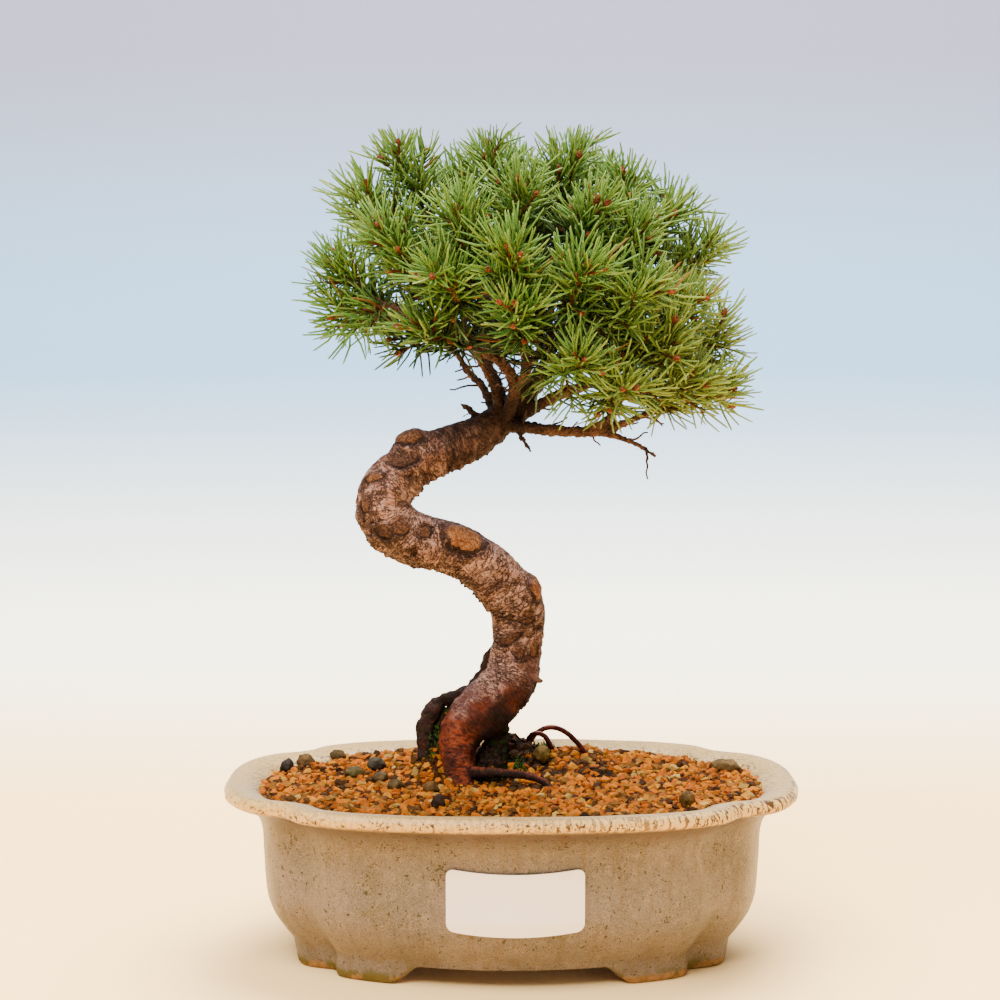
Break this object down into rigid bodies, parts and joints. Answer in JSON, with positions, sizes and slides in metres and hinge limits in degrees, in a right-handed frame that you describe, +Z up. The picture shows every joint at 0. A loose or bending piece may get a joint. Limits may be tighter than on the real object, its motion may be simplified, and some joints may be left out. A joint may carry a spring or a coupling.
{
  "type": "potted spruce bonsai",
  "caption": "Small spruce bonsai with an S-bent trunk and a dense needle crown, standing in soil in a glazed oval pot with flared lip and corner feet.",
  "frame": {"origin": "on the standing plane of the pot's feet, under the middle of the pot", "axes": "+Z up along the tree's height, +X along the pot's long side to the viewer's right, -Y the front with the label"},
  "size_m": [0.179, 0.1086, 0.2603],
  "materials": {
    "pot_glaze": "speckled beige stoneware glaze, satin",
    "soil_grains": "loose baked clay grains, matte",
    "bark": "flaky conifer bark, matte",
    "needles": "living needles and shoot stems, semi-matte",
    "stones": "small river stones, matte",
    "label_paper": "blank coated paper, rounded corners",
    "brown_wire": "brown anodised wire, satin",
    "screen_plastic": "black moulded mesh, matte"
  },
  "bodies": {
    "root": {"pot": "pot_glaze", "soil": "soil_grains", "trunk": "bark", "label": "label_paper", "tie_wire": "brown_wire", "drain_screen_left": "screen_plastic", "drain_screen_right": "screen_plastic", "stone_01": "stones", "stone_02": "stones", "stone_03": "stones", "stone_04": "stones", "stone_05": "stones", "stone_06": "stones", "stone_07": "stones", "stone_08": "stones", "stone_09": "stones", "stone_10": "stones", "stone_11": "stones", "stone_12": "stones", "spray_01": "needles", "spray_02": "needles", "spray_03": "needles", "spray_04": "needles", "spray_05": "needles", "spray_06": "needles", "spray_07": "needles", "spray_08": "needles", "spray_09": "needles", "spray_10": "needles", "spray_11": "needles", "spray_12": "needles", "spray_13": "needles", "spray_14": "needles", "spray_15": "needles", "spray_16": "needles", "spray_17": "needles", "spray_18": "needles", "spray_19": "needles", "spray_20": "needles", "spray_21": "needles", "spray_22": "needles", "spray_23": "needles", "spray_24": "needles", "spray_25": "needles", "spray_26": "needles", "spray_27": "needles", "spray_28": "needles", "spray_29": "needles", "spray_30": "needles", "spray_31": "needles", "spray_32": "needles", "spray_33": "needles", "spray_34": "needles", "spray_35": "needles", "spray_36": "needles", "spray_37": "needles", "spray_38": "needles", "spray_39": "needles", "spray_40": "needles", "spray_41": "needles"}
  },
  "joints": []
}
